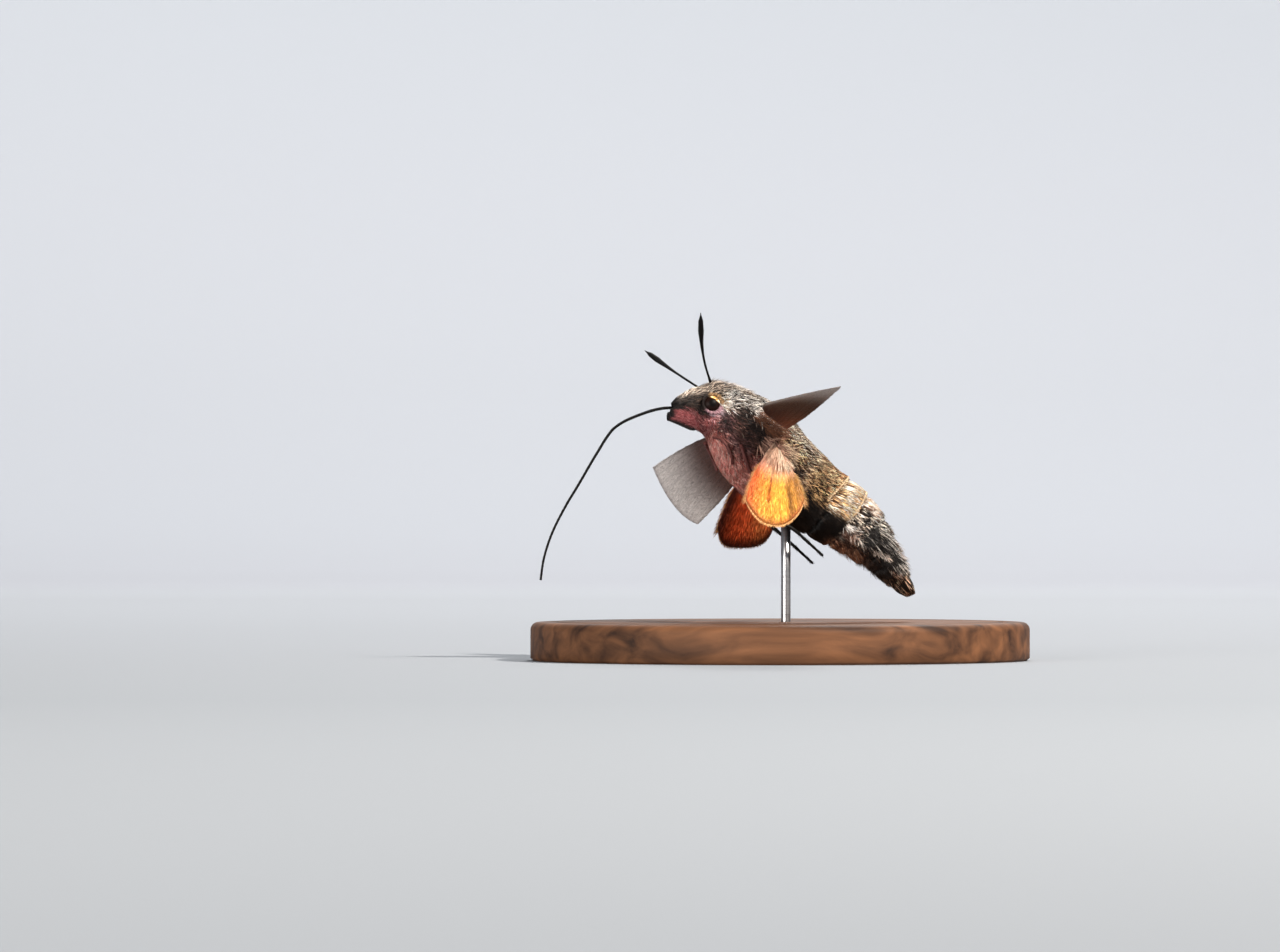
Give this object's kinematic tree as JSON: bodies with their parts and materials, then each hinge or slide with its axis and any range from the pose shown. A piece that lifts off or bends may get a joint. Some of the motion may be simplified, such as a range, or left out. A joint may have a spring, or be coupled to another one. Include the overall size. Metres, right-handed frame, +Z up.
{
  "type": "hummingbird hawk moth model",
  "caption": "Still, life-size hovering hawk moth with swept wings, long proboscis and tail brush, on a round base with a slim rod.",
  "frame": {"origin": "middle of the stand's underside", "axes": "+Z up, the moth's nose towards -X, its left side towards -Y"},
  "size_m": [0.052, 0.052, 0.0362],
  "materials": {
    "agouti_fur": "short soft fur, grey-brown with gold flecks",
    "banded_fur": "short fur in tan-gold bands",
    "black_fur": "long flat black scales with white flecks",
    "rose_fur": "dense short rose fur",
    "eye_brown": "glossy dark brown",
    "horn_black": "satin black",
    "forewing_brown": "scaled membrane, dark grey-brown",
    "hindwing_orange": "scaled membrane, yellow-orange",
    "stand_wood": "dark varnished wood",
    "stand_metal": "brushed"
  },
  "bodies": {
    "root": {"head": "agouti_fur", "thorax": "agouti_fur", "abdomen_front": "banded_fur", "abdomen_mid": "banded_fur", "abdomen_rear": "black_fur", "tail_brush": "black_fur", "palp_left": "rose_fur", "palp_right": "rose_fur", "eye_left": "eye_brown", "eye_right": "eye_brown", "antenna_left": "horn_black", "antenna_right": "horn_black", "proboscis": "horn_black", "forewing_left": "forewing_brown", "forewing_right": "forewing_brown", "hindwing_left": "hindwing_orange", "hindwing_right": "hindwing_orange", "foreleg_left": "horn_black", "foreleg_right": "horn_black", "midleg_left": "horn_black", "midleg_right": "horn_black", "hindleg_left": "horn_black", "hindleg_right": "horn_black", "stand_rod": "stand_metal", "stand_base": "stand_wood"}
  },
  "joints": []
}
